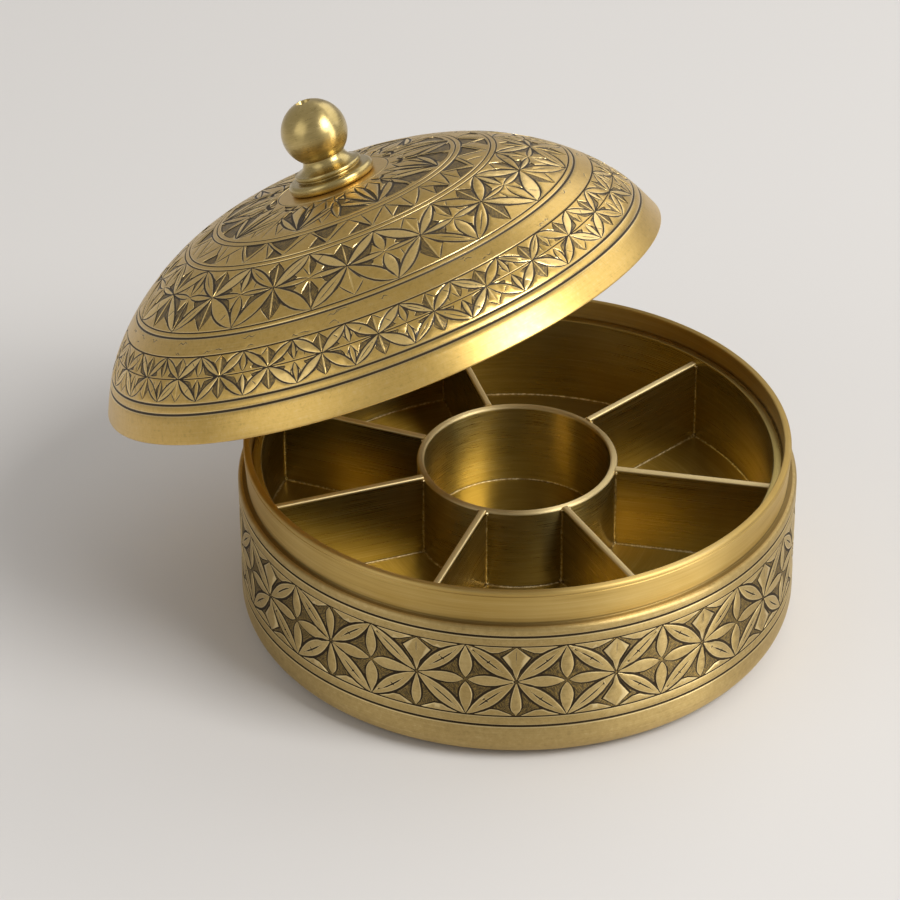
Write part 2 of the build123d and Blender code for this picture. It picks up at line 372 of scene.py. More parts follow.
# The partitions' tops are painted pale: wear, and a painted highlight of their lit edges
plate_finish = brushed(
    "partition_brass", straight=True, tones=DEEP_TONES, stain=0.6, depth=0.35, worn_and_lit_top=0.0612
)
knob_finish = brushed(
    "knob_brass", lean=0.4, tones=KNOB_TONES, stain=0.5, depth=0.25, **KNOB_GRAIN, **LACQUER
)
plain_finish = brushed("fastener_brass", lean=0.5, stain=0.5, rough=0.4, made=False)
solder_finish = solder()


# ---------------------------------------------------------------- making pieces


def piece(name, points, faces, finish, home=None, layers=None, strip=None, crease=35):
    """A mesh from points in millimetres, smooth but for its creases.

    home sets it in place. Its own frame is kept as a layer, for the grain to follow."""
    mesh = bpy.data.meshes.new(name)
    own = np.asarray(points, float) * MM
    home = np.array(Matrix.Identity(4) if home is None else home)
    mesh.from_pydata((own @ home[:3, :3].T + home[:3, 3]).tolist(), [], faces)
    mesh.attributes.new("own", "FLOAT_VECTOR", "POINT").data.foreach_set("vector", own.ravel())
    for layer, values in (layers or {}).items():
        mesh.attributes.new(layer, "FLOAT", "POINT").data.foreach_set("value", values)
    if strip is not None:
        corners = np.empty(len(mesh.loops), int)
        mesh.loops.foreach_get("vertex_index", corners)
        mesh.uv_layers.new(name="strip").data.foreach_set("uv", (strip * MM)[corners].ravel())
    weld = bmesh.new()
    weld.from_mesh(mesh)
    bmesh.ops.remove_doubles(weld, verts=weld.verts, dist=WELD)
    bmesh.ops.dissolve_degenerate(weld, edges=weld.edges, dist=SLIVER)
    weld.to_mesh(mesh)
    weld.free()
    mesh.polygons.foreach_set("use_smooth", [True] * len(mesh.polygons))
    mesh.set_sharp_from_angle(angle=math.radians(crease))
    mesh.materials.append(finish.material)
    made = bpy.data.objects.new(name, mesh)
    bpy.context.scene.collection.objects.link(made)
    return made


def fit(made, body, slot, *nodes):
    """Sets a piece on its body, in place of the CAD nodes. The slot is not used."""
    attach(made, body)
    if nodes:
        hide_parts(*nodes)


def softened(corners, steps=5):
    """An outline of (radius, height, round) corners with its rounds put in."""
    outline = []
    count = len(corners)
    for index, (radius, height, size) in enumerate(corners):
        here = np.array([radius, height])
        if size == 0:
            outline.append(here)
            continue
        before = np.array(corners[index - 1][:2]) - here
        after = np.array(corners[(index + 1) % count][:2]) - here
        before /= np.linalg.norm(before)
        after /= np.linalg.norm(after)
        half = math.acos(np.clip(before @ after, -1, 1)) / 2
        middle = (before + after) / np.linalg.norm(before + after)
        centre = here + middle * size / math.sin(half)
        start = here + before * size / math.tan(half) - centre
        end = here + after * size / math.tan(half) - centre
        sweep = math.acos(np.clip(start @ end / size**2, -1, 1))
        for step in np.linspace(0, 1, steps + 1):
            ends = math.sin((1 - step) * sweep) * start + math.sin(step * sweep) * end
            outline.append(centre + ends / math.sin(sweep))
    return np.array(outline)


def turned(outline, whole=True, around=AROUND):
    """Points and faces of an outline of (radius, height) turned about Z.

    A whole outline comes back to its start, and another has two open ends."""
    outline = np.asarray(outline, float)
    rings = len(outline)
    angles = np.arange(around) / around * TURN
    x = outline[:, None, 0] * np.cos(angles)
    y = outline[:, None, 0] * np.sin(angles)
    z = np.repeat(outline[:, 1:2], around, 1)
    faces = []
    for ring in range(rings if whole else rings - 1):
        low, high = ring * around, (ring + 1) % rings * around
        for step in range(around):
            turn = (step + 1) % around
            faces.append((low + step, low + turn, high + turn, high + step))
    return np.stack([x, y, z], -1).reshape(-1, 3), faces


def spun(name, corners, finish, steps=5, around=AROUND, home=None):
    """A turned piece from the (radius, height, round) corners of its section."""
    return piece(name, *turned(softened(corners, steps), around=around), finish, home)


def joined(parts):
    """The points and faces of several parts, numbered as one mesh's."""
    points, faces, count = [], [], 0
    for part_points, part_faces, *_ in parts:
        points.append(part_points)
        faces.extend(tuple(corner + count for corner in face) for face in part_faces)
        count += len(part_points)
    return np.vstack(points), faces


# ---------------------------------------------------------------- the engraving

# The border of a strip that stays uncut, the spacing of its points, and how far from its
# line a cut is looked for
BORDER, GRID_STEP, CUT_REACH = 0.3, 2.6, 2.0

# A cut's width at its tips, as a share of its full width, and how fast it widens
TIP, WIDENING = 0.22, 3.2

# A facet left standing: the tones it may have, which are painted light and shade given at random,
# how much it tilts, and how deep it lies
PETAL_TONES, PETAL_TILT = (0.36, 1.0), 0.03
PETAL_DEPTH, PETAL_RISE = 0.1, (-0.1, 0.16)

# The triangulation keeps what lies inside its outer lines
KEEP_INSIDE = 1


def inside(points, outline):
    """Which points lie inside a closed outline."""
    x, y = points[:, 0:1], points[:, 1:2]
    ax, ay = outline[:, 0], outline[:, 1]
    bx, by = np.roll(ax, -1), np.roll(ay, -1)
    spans = (ay > y) != (by > y)
    rise = np.where(by == ay, 1, by - ay)
    return (spans & (x < (bx - ax) * (y - ay) / rise + ax)).sum(1) % 2 == 1


def offset(line, side):
    """A line moved to its left by the distance given at each point."""
    step = np.gradient(line, axis=0)
    step /= np.linalg.norm(step, axis=1)[:, None] + 1e-9
    return line + np.stack([-step[:, 1], step[:, 0]], 1) * side[:, None]


def nearest(points, line):
    """The distance from each point to a line, and how far along it, from 0 to 1."""
    start, step = line[:-1], np.diff(line, axis=0)
    span = (step**2).sum(1) + 1e-12
    away = points[:, None] - start
    along = np.clip((away * step).sum(2) / span, 0, 1)
    gap = np.linalg.norm(away - along[..., None] * step, axis=2)
    best = gap.argmin(1)
    rows = np.arange(len(points))
    return gap[rows, best], (best + along[rows, best]) / len(step)


def closed(outline):
    return np.vstack([outline, outline[:1]])


def tapered(share):
    """How wide a cut is along its length: it runs out thin at both ends."""
    return np.minimum(1, TIP + WIDENING * np.minimum(share, 1 - share))


class Strip:
    """A band of engraving, laid out flat: u runs round the band and v across it.

    The layout keeps angles, so what is cut at radius r comes out r / reference
    times as large, and the cuts are made wider to suit."""

    def __init__(self, profile, reference):
        self.profile = np.asarray(profile, float)
        self.reference = reference
        step = np.linalg.norm(np.diff(self.profile, axis=0), axis=1)
        middle = (self.profile[1:, 0] + self.profile[:-1, 0]) / 2
        self.v = np.concatenate([[0], np.cumsum(step * reference / middle)])
        self.length = TURN * reference
        self.height = self.v[-1]
        self.cuts = []
        self.petals = []
        self.floors = []
        self.guides = []

    def at(self, radius):
        """The v of the profile's point at a radius; the radii fall as v rises."""
        return float(np.interp(-radius, -self.profile[:, 0], self.v))

    def scale(self, v):
        return np.interp(v, self.v, self.profile[:, 0]) / self.reference

    def placed(self, line):
        """A line brought round to where most of it lies on the strip."""
        line = np.asarray(line, float)
        return line - (math.floor(line[:, 0].mean() / self.length) * self.length, 0)

    def cut(self, line, width, depth, pointed=True, clip=True):
        """A V-shaped cut along a line. A clipped one stops where it meets a petal."""
        self.cuts.append([self.placed(line), width, depth, pointed, clip])

    def ring(self, v, width, depth):
        """A cut right round the strip."""
        u = np.linspace(0, self.length, AROUND + 1)
        self.cut(np.stack([u, np.full(AROUND + 1, v)], 1), width, depth, False, False)

    def petal(self, outline, width, depth, sides=None):
        """A facet left standing and tilted a little, with a cut along its sides."""
        outline = self.placed(outline)
        # Each petal gets a random tone, which the finish paints as light and shade
        low, high = PETAL_TONES
        tone = low + (high - low) * rng.random()
        self.petals.append((outline, tone, rng.normal(0, PETAL_TILT, 2)))
        half, whole = len(outline) // 2, len(outline)
        for first, last in sides or ((0, half), (half, whole)):
            self.cut(closed(outline)[first : last + 1], width, depth, True, False)

    def ridge(self, start, end, width=0.4):
        """A fine line left standing between two sunk facets."""
        fat = width / 2 / np.linalg.norm(end - start)
        outline = self.placed(leaf(start, end, fat, 0.5, 5))
        self.petals.append((outline, 1.0, np.zeros(2)))
        self.guides.append((closed(outline * 0.999 + outline.mean(0) * 0.001),))
        self.guides.append((closed(self.placed(leaf(start, end, fat * 2.2, 0.5, 5))),))

    def floor(self, outline, depth, width=0):
        """A facet cut down and hatched, wherever no petal stands."""
        outline = self.placed(outline)
        self.floors.append((outline, depth))
        if width:
            corners = closed(outline)
            for start, end in zip(corners[:-1], corners[1:]):
                count = max(2, int(np.linalg.norm(end - start) / 1.2) + 1)
                steps = np.linspace(0, 1, count)[:, None]
                self.cut(start + (end - start) * steps, width, depth + 0.08)

    def clear(self, line):
        """The stretches of a line that cross no petal."""
        steps = np.linspace(0, len(line) - 1, (len(line) - 1) * 6 + 1)
        index = np.arange(len(line))
        fine = np.stack([np.interp(steps, index, line[:, axis]) for axis in (0, 1)], 1)
        free = np.ones(len(fine), bool)
        for petal, *_ in self.petals:
            if (petal.min(0) < fine.max(0)).all() and (petal.max(0) > fine.min(0)).all():
                free &= ~inside(fine, petal)
        result = []
        for run in np.split(np.arange(len(fine)), np.flatnonzero(np.diff(free)) + 1):
            if free[run[0]] and len(run) > 3:
                result.append(fine[run][::3] if len(run) > 9 else fine[run])
        return result

    def wrapped(self, items):
        """The items, with a copy past the far edge of what crosses a near one."""
        result = []
        for item in items:
            line, *rest = item
            result.append(item)
            if np.ptp(line[:, 0]) > self.length / 2:
                continue
            for edge, shift in ((0, self.length), (self.length, -self.length)):
                if line[:, 0].min() - 2 < edge < line[:, 0].max() + 2:
                    result.append((line + (shift, 0), *rest))
        return result

    def carve(self):
        """The strip's flat points and triangles, and its layers at each point."""
        self.petals = self.wrapped(self.petals)
        self.floors = self.wrapped(self.floors)
        cuts = []
        for line, width, depth, pointed, clip in self.cuts:
            for run in self.clear(line) if clip else [line]:
                cuts.append((run, width, depth, pointed))
        cuts = self.wrapped(cuts)
        corners, edges = [], []

        def constrain(line):
            first = len(corners)
            corners.extend(line.tolist())
            edges.extend((first + i, first + i + 1) for i in range(len(line) - 1))

        border = np.linspace(0, self.length, AROUND + 1)
        sides = np.linspace(0, self.height, max(3, int(self.height / 2.5)))
        for v in (0.0, self.height):
            constrain(np.stack([border, np.full(AROUND + 1, v)], 1))
        for edge in (0, self.length):
            constrain(np.stack([np.full(len(sides), edge), sides], 1))
        for line, width, depth, pointed in cuts:
            wide = width / self.scale(line[:, 1])
            if pointed:
                wide = wide * tapered(np.linspace(0, 1, len(line)))
            for side in (-0.5, 0, 0.5):
                edge = offset(line, wide * side)
                edge[:, 1] = np.clip(edge[:, 1], BORDER, self.height - BORDER)
                constrain(edge)
        for (guide,) in self.wrapped(self.guides):
            guide[:, 1] = np.clip(guide[:, 1], BORDER, self.height - BORDER)
            constrain(guide)
        for row, v in enumerate(np.arange(GRID_STEP / 2, self.height - 1, GRID_STEP)):
            u = border[:-1] + (row % 2) * 0.5 * border[1]
            corners.extend((x, v) for x in u if 0.4 < x < self.length - 0.4)
        places = [Vector(corner) for corner in corners]
        made = delaunay_2d_cdt(places, edges, [], KEEP_INSIDE, 1e-4, False)
        points = np.array([tuple(p) for p in made[0]])
        faces = np.array(made[2])
        middle = points[faces].mean(1)[:, 0]
        faces = faces[(middle > 0) & (middle < self.length)]
        used, faces = np.unique(faces, return_inverse=True)
        points = points[used]
        return points, faces.reshape(-1, 3).tolist(), *self.measure(points, cuts)

    def measure(self, points, cuts):
        """The depth and the cut, sunk and facet layers at each point."""
        depth = np.zeros(len(points))
        layers = {name: np.full(len(points), value) for name, value in LAYERS.items()}
        order = points[:, 0].argsort()
        sorted_u = points[order, 0]
        scale = self.scale(points[:, 1])

        def close_to(outline, margin):
            low = np.searchsorted(sorted_u, outline[:, 0].min() - margin)
            high = np.searchsorted(sorted_u, outline[:, 0].max() + margin)
            chosen = order[low:high]
            v = points[chosen, 1]
            return chosen[(v > outline[:, 1].min() - margin) & (v < outline[:, 1].max() + margin)]

        standing = np.zeros(len(points), bool)
        for petal, tone, tilt in self.petals:
            chosen = close_to(petal, 0.1)
            held = chosen[inside(points[chosen], petal)]
            standing[held] = True
            layers["facet"][held] = tone
            rise = (points[held] - petal.mean(0)) @ tilt * scale[held]
            depth[held] = PETAL_DEPTH + np.clip(rise, *PETAL_RISE)
        for outline, floor_depth in self.floors:
            chosen = close_to(outline, 0.1)
            held = chosen[inside(points[chosen], outline) & ~standing[chosen]]
            depth[held] = np.maximum(depth[held], floor_depth)
            layers["sunk"][held] = 1
        for line, width, deep, pointed in cuts:
            for first in range(0, len(line) - 1, 16):
                run = line[first : first + 17]
                chosen = close_to(run, CUT_REACH)
                if len(chosen) == 0:
                    continue
                gap, along = nearest(points[chosen], run)
                half = np.full(len(chosen), width / 2)
                if pointed:
                    half *= tapered((first + along * (len(run) - 1)) / (len(line) - 1))
                within = np.clip(1 - gap * scale[chosen] / half, 0, 1)
                depth[chosen] = np.maximum(depth[chosen], within * deep * half * 2 / width)
                layers["cut"][chosen] = np.maximum(layers["cut"][chosen], within)
        return depth, layers

    def raised(self):
        """The carved strip wrapped round its profile: points, faces and layers."""
        flat, faces, depth, layers = self.carve()
        index = np.arange(len(self.profile))
        where = np.interp(flat[:, 1], self.v, index)
        radius = np.interp(where, index, self.profile[:, 0])
        height = np.interp(where, index, self.profile[:, 1])
        slope = np.gradient(self.profile, axis=0)
        slope /= np.linalg.norm(slope, axis=1)[:, None]
        radius = radius - depth * np.interp(where, index, slope[:, 1])
        height = height + depth * np.interp(where, index, slope[:, 0])
        angle = flat[:, 0] / self.length * TURN
        points = np.stack([radius * np.cos(angle), radius * np.sin(angle), height], 1)
        return points, faces, layers, flat


def assembled(name, parts, finish, home=None):
    """One piece from turned parts and carved strips that share their edges."""
    points, faces = joined(parts)
    layers = {layer: [] for layer in LAYERS}
    strips = []
    for part_points, _, *carving in parts:
        size = len(part_points)
        part_layers, flat = carving or ({}, np.zeros((size, 2)))
        strips.append(flat)
        for layer, plain in LAYERS.items():
            layers[layer].append(part_layers.get(layer, np.full(size, plain)))
    layers = {layer: np.concatenate(values) for layer, values in layers.items()}
    return piece(name, points, faces, finish, home, layers, np.vstack(strips))


# ---------------------------------------------------------------- the motifs


def bowed(start, end, bow, count=9, peak=0.5):
    """A curve from start to end, bowed to its left by a share of its length."""
    start, end = np.asarray(start, float), np.asarray(end, float)
    t = np.linspace(0, 1, count)[:, None]
    across = np.array([start[1] - end[1], end[0] - start[0]])
    rise = np.where(t < peak, 1 - (1 - t / peak) ** 2, 1 - ((t - peak) / (1 - peak)) ** 2)
    return start + (end - start) * t + across * bow * rise


def leaf(start, end, fat, peak=0.5, count=9):
    """A pointed leaf between two points, fattest at its peak."""
    there = bowed(start, end, fat, count, peak)
    back = bowed(end, start, fat, count, 1 - peak)
    return np.vstack([there[:-1], back[:-1]])


def shouldered(start, end, fat, shoulder, neck):
    """A kite from start to end: a narrow neck, then straight shoulders."""
    start, end = np.asarray(start, float), np.asarray(end, float)
    along = end - start
    across = np.array([-along[1], along[0]])
    half = [(0.0, 0.0), (shoulder * 0.45, neck), (shoulder, fat)]
    left = [start + along * t + across * w for t, w in half]
    right = [start + along * t - across * w for t, w in half[:0:-1]]
    return np.array([*left, end, *right])


class Cell:
    """One repeat of a band of stars, with its places given from -1 to 1."""

    def __init__(self, strip, middle, half, size, deep):
        self.strip, self.middle, self.half = strip, middle, half
        self.size, self.deep = size, deep

    def at(self, x, y, loose=0.0):
        slip = rng.normal(0, loose, 2) if loose else np.zeros(2)
        return self.middle + np.array([x, y]) * self.half + slip

    def light(self, outline, width=1.0, sides=None):
        self.strip.petal(outline, width * self.size, self.deep * self.size, sides)

    def dark(self, *places):
        self.strip.floor([self.at(*place) for place in places], 0.26 * self.size, 0.62 * self.size)

    def line(self, start, end, width=0.7, clip=True):
        ends = self.at(*start), self.at(*end)
        line = bowed(*ends, rng.uniform(-0.03, 0.03), 5)
        self.strip.cut(line, width * self.size, 0.16 * self.size, True, clip)

    def bent(self, width, *places):
        """Lines from each place to the next."""
        for start, end in zip(places, places[1:]):
            self.line(start, end, width)


def cells(strip, low, high, count, size, deep, lead=0.0):
    """The cells of a band between two heights of a strip, turned on by a share of a cell."""
    width = strip.length / count
    for index in range(count):
        middle = np.array([(index + 0.5 + lead) * width, (low + high) / 2])
        yield Cell(strip, middle, np.array([width, high - low]) / 2, size, deep)


def flower(cell):
    """A star of broad petals on dark ground, and the small flower beside it."""
    # The four broad petals, each with a vein, and the facet that fills the corner beyond it
    for side in (-1, 1):
        for way in (-1, 1):
            root, tip = cell.at(side * 0.02, way * 0.02), cell.at(side, way)
            fat, peak = rng.uniform(0.125, 0.145), rng.uniform(0.47, 0.53)
            cell.light(leaf(root, tip, fat, peak, 12), 1.7)
            cell.line((side * 0.28, way * 0.28), (side * 0.8, way * 0.8), 1.0, False)
            if rng.random() < 0.85:
                x = rng.uniform(0.45, 0.6)
                lean = rng.uniform(0.03, 0.05)
                start = side * (x - lean), way * (x + lean)
                end = side * (x + lean), way * (x - lean)
                cell.line(start, end, 0.8, False)
            edge = bowed(root, tip, fat * side * way, 12, peak)[7:]
            corner = cell.at(side * 0.36, way * 0.80, 0.15)
            outline = np.array([*edge, cell.at(side * 0.05, way * 0.985), corner])
            cell.light(outline, 1.0, ((5, 7),))
    # The petals across the band, of the star and of the small flower
    for way in (-1, 1):
        root, tip = cell.at(0, way * 0.03), cell.at(rng.uniform(-0.02, 0.02), way * 0.98)
        if rng.random() < 0.5:
            cell.light(shouldered(root, tip, rng.uniform(0.36, 0.42), 0.7, 0.11), 1.3)
            if rng.random() < 0.6:
                cell.line((0, way * 0.55), (0, way * 0.9), 0.4, False)
        else:
            cell.light(leaf(root, tip, rng.uniform(0.15, 0.18), rng.uniform(0.62, 0.72)), 1.3)
        root, tip = cell.at(1, way * 0.05), cell.at(1, way * 0.985)
        cell.light(leaf(root, tip, rng.uniform(0.165, 0.2), 0.4), 1.3)
    # The petals along the band
    for side in (-1, 1):
        root, tip = cell.at(side * 0.03, 0), cell.at(side * 0.965, 0)
        cell.light(leaf(root, tip, rng.uniform(0.145, 0.175), rng.uniform(0.55, 0.68)), 1.3)


def compass(cell, barred=True):
    """A star of slim arms, some halved into a light facet and a dark one.

    A barred one has a leaf along the band at each side."""
    star = cell.at(0, 0)
    # The four slanting arms
    for side in (-1, 1):
        for way in (-1, 1):
            slim = rng.uniform(0.1, 0.15)
            cell.light(leaf(star, cell.at(side, way), slim, rng.uniform(0.45, 0.6), 9), 1.15)
            if rng.random() < 0.4:
                cell.line((side * 0.3, way * 0.3), (side * 0.85, way * 0.85), 0.5, False)
            elif rng.random() < 0.5:
                x = rng.uniform(0.45, 0.7)
                start = side * (x - 0.08), way * (x + 0.1)
                end = side * (x + 0.08), way * (x - 0.1)
                cell.line(start, end, 0.5, False)
    # The kites across the band, with a ridge down the middle of each
    for way in (-1, 1):
        both = rng.random() < 0.5
        for side in (-1, 1):
            shoulder = rng.uniform(0.24, 0.3) * side, rng.uniform(0.55, 0.66) * way
            if rng.random() < 0.4:
                cell.dark((0, 0), (side * 0.6, way * 0.8), shoulder)
            if both or rng.random() < 0.5:
                cell.dark((0, 0), shoulder, (0, 0.98 * way))
            else:
                cell.bent(0.7, (0, 0.05 * way), shoulder, (0, 0.98 * way))
                if rng.random() < 0.6:
                    cell.dark((0.08 * side, 0.2 * way), shoulder, (side * 0.36, way * 0.5))
        cell.strip.ridge(star, cell.at(0, way * 0.97))
    # The facets along the band, and the small kites between one star and the next
    for side in (-1, 1):
        slim = rng.uniform(0.07, 0.1)
        if barred:
            cell.light(leaf(cell.at(side * 0.05, 0), cell.at(side, 0), slim, 0.6, 7), 0.9)
        for way in (-1, 1):
            bend = side * 0.66, way * 0.14
            if rng.random() < 0.35:
                cell.dark((0, 0), bend, (side * 0.8, way * 0.55))
            elif rng.random() < 0.72:
                cell.dark((side * 0.2, way * 0.08), bend, (side * 0.5, way * 0.38))
            else:
                end = side * rng.uniform(0.5, 0.7), way * 0.45
                cell.line((side * 0.62, way * 0.14), end, 0.55)
            if rng.random() < 0.5:
                cell.dark((side, way * 0.95), (side * 0.78, way * 0.48), (side * 0.97, way * 0.1))
            else:
                cell.bent(0.6, (side, way * 0.08), (side * 0.8, way * 0.5), (side, way * 0.95))
    for way in (-1, 1):
        if rng.random() < 0.75:
            fat = rng.uniform(0.13, 0.2)
            cell.light(leaf(cell.at(1, way * 0.06), cell.at(1, way * 0.97), fat, 0.42, 7), 1.0)
        else:
            cell.strip.ridge(cell.at(1, way * 0.06), cell.at(1, way * 0.97))


def simple_compass(cell):
    """The same star without the leaves along the band."""
    compass(cell, False)


def stars(strip, low, high, count, motif, size, deep=0.45, lead=0.0):
    """A row of stars round a strip; deep is how deep their cuts are."""
    for cell in cells(strip, low, high, count, size, deep, lead):
        motif(cell)


def zigzag(strip, low, high, count):
    """A row of tall triangles, each split in facets."""
    for cell in cells(strip, low, high, count, 1.55, 0.45):
        peak = (rng.uniform(-0.2, 0.2), 0.98)
        foot = (rng.uniform(-0.25, 0.25), -0.98)
        cell.bent(0.75, (-1, -0.98), peak, (1, -0.98))
        if rng.random() < 0.5:
            cell.line(foot, peak, 0.6)
        if rng.random() < 0.8:
            waist = ((peak[0] + 1) / 2, 0)
            cell.dark(waist, (0.96, -0.9), foot)
        elif rng.random() < 0.5:
            cell.line(foot, ((peak[0] - 1) / 2, 0), 0.6)
        if rng.random() < 0.7:
            cell.dark((peak[0] + 0.2, 0.96), (1, -0.5), (1.6, 0.96))
        else:
            cell.line((1, -0.9), (rng.uniform(0.8, 1.2), 0.96), 0.6)


def fans(strip, low, high, count):
    """Half stars that open towards the knob, with smaller ones between them."""
    tips = [(-0.98, -0.1), (-0.6, 0.75), (0, 0.97), (0.6, 0.75), (0.98, -0.1)]
    root = np.array([0, -0.97])
    for cell in cells(strip, low, high, count, 1.4, 0.3):
        foot = cell.at(*root)
        for number, place in enumerate(tips):
            tip = cell.at(*place, 0.5)
            if number % 2:
                fat = rng.uniform(0.13, 0.18)
                cell.light(shouldered(foot, tip, fat, rng.uniform(0.55, 0.7), fat * 0.4), 1.1)
            else:
                cell.light(leaf(foot, tip, rng.uniform(0.07, 0.1), rng.uniform(0.5, 0.65), 7), 1.1)
        for one, other in zip(tips[:-1], tips[1:]):
            between = (np.array(one) + other) / 2
            corner = root + (between - root) * rng.uniform(0.55, 0.8)
            if rng.random() < 0.85:
                cell.dark(root, root + (np.array(one) - root) * 0.9, corner)
            else:
                cell.bent(0.6, root + (between - root) * 0.3, corner, one)
        for side in (-1, 1):
            if rng.random() < 0.6:
                cell.dark((side * 0.2, -0.95), (side * 0.93, -0.3), (side * 0.93, -0.95))
            else:
                cell.line((side * 0.5, -0.6), (side * 0.6, -0.95), 0.6)
                cell.line((side * 0.95, -0.25), (side * 0.6, -0.95), 0.6)
        crown = (1, rng.uniform(0.3, 0.5))
        for place in ((1, -0.95), (0.55, 0.62), (1.45, 0.62), (1, 0.97)):
            if rng.random() < 0.75:
                slim = rng.uniform(0.06, 0.11)
                cell.light(leaf(cell.at(*crown), cell.at(*place), slim, 0.5, 6), 1.0)
            else:
                cell.line(crown, place, 0.6)
        for places in (
            ((0.7, -0.1), (1, -0.9), crown),
            ((1.1, 0.4), (1.4, 0.1), (1.15, -0.5)),
            ((0.62, 0.7), (0.1, 0.95), (0.95, 0.95)),
        ):
            if rng.random() < 0.75:
                cell.dark(*places)


def scuffs(strip, low, high, count):
    """Light trial strokes and scratches on a plain band."""
    for place in rng.uniform(0, strip.length, count):
        v = rng.uniform(low, high)
        run = rng.uniform(1.5, 5)
        steps = np.linspace(-0.5, 0.5, 5) * run
        rise = rng.uniform(-0.6, 0.6, 5)
        line = np.stack([place + steps, np.clip(v + rise, low, high)], 1)
        if 1 < line[0, 0] and line[-1, 0] < strip.length - 1:
            strip.cut(line, 0.45, 0.05)


# ---------------------------------------------------------------- the drum

DRUM_RADIUS, DRUM_HEIGHT, DRUM_WALL = 101.2, 57.6, 1.6
DRUM_CORNER, SHOULDER = 11.0, 1.3
DRUM_STRIP = 13.8, 55.6
STARS_ROUND_DRUM = 18

# Height, width and depth of each line round the drum; the first two frame the stars
DRUM_LINES = (20.2, 1.0, 0.35), (50.0, 1.0, 0.35), (16.0, 1.7, 0.5), (54.0, 1.7, 0.5)

# Radii of the rings of points across the flat base
BASE_RINGS = 0.001, 20, 40, 60

drum_bore = DRUM_RADIUS - DRUM_WALL


def drum_band():
    """The drum's carved band: stars on sunk ground, framed by lines."""
    levels = np.linspace(*DRUM_STRIP, 20)
    band = Strip(np.stack([np.full(len(levels), DRUM_RADIUS), levels], 1), DRUM_RADIUS)
    for height, width, depth in DRUM_LINES:
        band.ring(height - DRUM_STRIP[0], width, depth)
    low, high = [height - DRUM_STRIP[0] for height, *_ in DRUM_LINES[:2]]
    band.floor([(0, low), (band.length, low), (band.length, high), (0, high)], 0.3)
    stars(band, low, high, STARS_ROUND_DRUM, flower, 1.0)
    return band.raised()


base = [(radius, 0) for radius in BASE_RINGS[:-1]]
low_half = softened([
    (BASE_RINGS[-1], 0, 0), (DRUM_RADIUS, 0, DRUM_CORNER), (DRUM_RADIUS, DRUM_STRIP[0], 0),
], 14)
high_half = softened([
    (DRUM_RADIUS, DRUM_STRIP[1], 0), (DRUM_RADIUS, DRUM_HEIGHT, SHOULDER),
    (drum_bore, DRUM_HEIGHT, 0), (drum_bore, DRUM_WALL, DRUM_CORNER - DRUM_WALL),
    (BASE_RINGS[-1], DRUM_WALL, 0),
], 8)
inner_floor = [(radius, DRUM_WALL) for radius in BASE_RINGS[-2::-1]]
drum = assembled("drum", [
    turned(np.vstack([base, low_half]), False),
    drum_band(),
    turned(np.vstack([high_half, inner_floor]), False),
], drum_finish)
fit(drum, "box", "engraved_brass", "body_shell")


# ---------------------------------------------------------------- the collar

COLLAR_TOP, MOUTH, NECK, BORE, SPIGOT = 71.0, 98.9, 98.0, 96.2, 7.0
LINE_DROP, LINE_INSET, LINE_CUT = 1.7, 0.06, 0.26
SOLDER_GAP = 0.01

collar_foot = DRUM_HEIGHT - SPIGOT
spigot = drum_bore - SOLDER_GAP
line_radius, line_height = MOUTH - LINE_INSET, COLLAR_TOP - LINE_DROP
collar = spun("collar", [
    (BORE, collar_foot, 0), (spigot, collar_foot, 0),
    (spigot, DRUM_HEIGHT, 0), (NECK, DRUM_HEIGHT, 0.4),
    (line_radius, line_height - LINE_CUT, 0), (line_radius - LINE_CUT, line_height, 0),
    (line_radius, line_height + LINE_CUT, 0), (MOUTH, COLLAR_TOP, 0.9), (BORE, COLLAR_TOP, 0.6),
], collar_finish, 6)
fit(collar, "box", "plain_brass", "body_collar")


# ---------------------------------------------------------------- the tray

TRAY_TOP, TRAY_FLOOR, TRAY_SHEET, TRAY_BORE, RIM_GAP = 63.8, 29.2, 1.8, 92.5, 0.6
CUP_RADIUS, CUP_SHEET, CUP_TOP = 36.3, 2.6, 61.2
PLATE, PLATE_TOP = 2.4, 61.6
PLATE_ANGLES = (44.3, 107.0, 158.4, -159.4, -109.4, -61.8, -11.2)

tray_foot, rim_foot = TRAY_FLOOR - TRAY_SHEET, TRAY_TOP - TRAY_SHEET
tray_outside, rim = TRAY_BORE + TRAY_SHEET, BORE - RIM_GAP
cup_bore = CUP_RADIUS - CUP_SHEET

wall = spun("tray_wall_skin", [
    (TRAY_BORE, tray_foot, 0), (tray_outside, tray_foot, 0.4), (tray_outside, rim_foot, 0.3),
    (rim, rim_foot, 0), (rim, TRAY_TOP, 0.4), (TRAY_BORE, TRAY_TOP, 0.5),
], wall_finish)
fit(wall, "tray", "tray_brass", "tray_wall")

cup = spun("cup", [
    (cup_bore, TRAY_FLOOR, 0), (CUP_RADIUS, TRAY_FLOOR, 0),
    (CUP_RADIUS, CUP_TOP, 0.8), (cup_bore, CUP_TOP, 0.8),
], cup_finish, 6, 144)
fit(cup, "tray", "tray_brass", "tray_cup")


